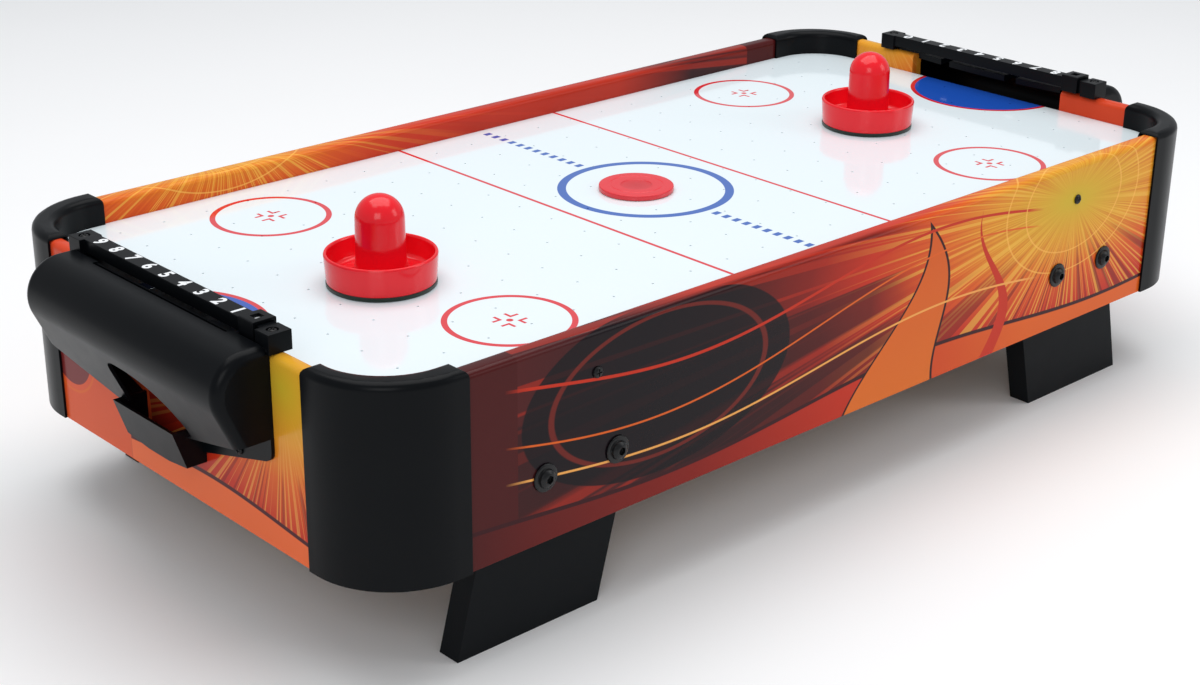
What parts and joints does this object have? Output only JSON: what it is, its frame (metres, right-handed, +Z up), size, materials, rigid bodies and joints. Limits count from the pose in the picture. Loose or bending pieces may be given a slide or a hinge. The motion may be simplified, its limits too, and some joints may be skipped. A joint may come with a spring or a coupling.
{
  "type": "tabletop air hockey",
  "caption": "Tabletop air hockey game: a fan-blown playing surface in printed rails with rounded corner caps, hooded goals, sliding bar scorers, handled strikers and a puck.",
  "frame": {"origin": "on the floor under the middle of the table, at the centre of its bounding box", "axes": "+Z up, +X along the table from the end whose scorer reads 0 to the end whose scorer reads 9, +Y across the table to the side with the switch and power inlet"},
  "size_m": [0.9316, 0.4402, 0.2484],
  "materials": {
    "printed_laminate": "glossy printed laminate on fibreboard",
    "playfield": "glossy white laminate with printed lines",
    "raw_board": "bare fibreboard",
    "black_plastic": "satin moulded",
    "matt_plastic": "fine moulded grain",
    "leg_board": "black laminate",
    "black_steel": "black coated",
    "plated_steel": "zinc plated",
    "red_plastic": "glossy moulded",
    "puck_plastic": "glossy moulded",
    "felt": "black felt"
  },
  "bodies": {
    "table": {"bar_screw_left_1": "black_steel", "bar_screw_left_2": "black_steel", "bar_screw_right_1": "black_steel", "bar_screw_right_2": "black_steel", "base_panel": "raw_board", "control_plate": "matt_plastic", "corner_cap_far_left": "black_plastic", "corner_cap_far_right": "black_plastic", "corner_cap_near_left": "black_plastic", "corner_cap_near_right": "black_plastic", "end_batten_left": "raw_board", "end_batten_right": "raw_board", "end_rail_left": "printed_laminate", "end_rail_right": "printed_laminate", "fan_frame": "matt_plastic", "fan_guard": "plated_steel", "fan_lead": "matt_plastic", "fan_screw_1": "plated_steel", "fan_screw_2": "plated_steel", "goal_hood_left": "black_plastic", "goal_hood_right": "black_plastic", "hood_screw_left_1": "black_steel", "hood_screw_left_2": "black_steel", "hood_screw_right_1": "black_steel", "hood_screw_right_2": "black_steel", "leg_bolt_far_left_1": "black_steel", "leg_bolt_far_left_2": "black_steel", "leg_bolt_far_right_1": "black_steel", "leg_bolt_far_right_2": "black_steel", "leg_bolt_near_left_1": "black_steel", "leg_bolt_near_left_2": "black_steel", "leg_bolt_near_right_1": "black_steel", "leg_bolt_near_right_2": "black_steel", "leg_far_left": "leg_board", "leg_far_right": "leg_board", "leg_near_left": "leg_board", "leg_near_right": "leg_board", "playing_surface": "playfield", "power_inlet": "matt_plastic", "rail_screw_far_left": "black_steel", "rail_screw_far_right": "black_steel", "rail_screw_near_left": "black_steel", "rail_screw_near_right": "black_steel", "score_bar_left": "black_plastic", "score_bar_right": "black_plastic", "side_batten_far": "raw_board", "side_batten_near": "raw_board", "side_rail_far": "printed_laminate", "side_rail_near": "printed_laminate", "switch_housing": "matt_plastic"},
    "striker_left": {"striker_left": "red_plastic", "striker_felt_left": "felt"},
    "striker_right": {"striker_right": "red_plastic", "striker_felt_right": "felt"},
    "puck": {"puck": "puck_plastic"},
    "score_slider_left": {"score_slider_left": "black_plastic"},
    "score_slider_right": {"score_slider_right": "black_plastic"},
    "fan_impeller": {"fan_impeller": "matt_plastic"},
    "switch_rocker": {"switch_rocker": "matt_plastic"}
  },
  "joints": [
    {"name": "striker_left_slide", "type": "slide", "parent": "table", "child": "striker_left", "axis": [1, 0, 0], "range_m": [-0.085, 0.19]},
    {"name": "striker_right_slide", "type": "slide", "parent": "table", "child": "striker_right", "axis": [1, 0, 0], "range_m": [-0.19, 0.11]},
    {"name": "puck_slide", "type": "slide", "parent": "table", "child": "puck", "axis": [0, 1, 0], "range_m": [-0.172, 0.166]},
    {"name": "score_left_slide", "type": "slide", "parent": "table", "child": "score_slider_left", "axis": [0, 1, 0], "range_m": [0, 0.1836]},
    {"name": "score_right_slide", "type": "slide", "parent": "table", "child": "score_slider_right", "axis": [0, 1, 0], "range_m": [0, 0.1836]},
    {"name": "fan_spin", "type": "hinge", "parent": "table", "child": "fan_impeller", "pos_m": [0, 0, 0.139], "axis": [0, 0, 1], "continuous": true},
    {"name": "switch_rock", "type": "hinge", "parent": "table", "child": "switch_rocker", "pos_m": [0.104, 0.2167, 0.112], "axis": [0, 0, 1], "range_deg": [-14, 0]}
  ]
}
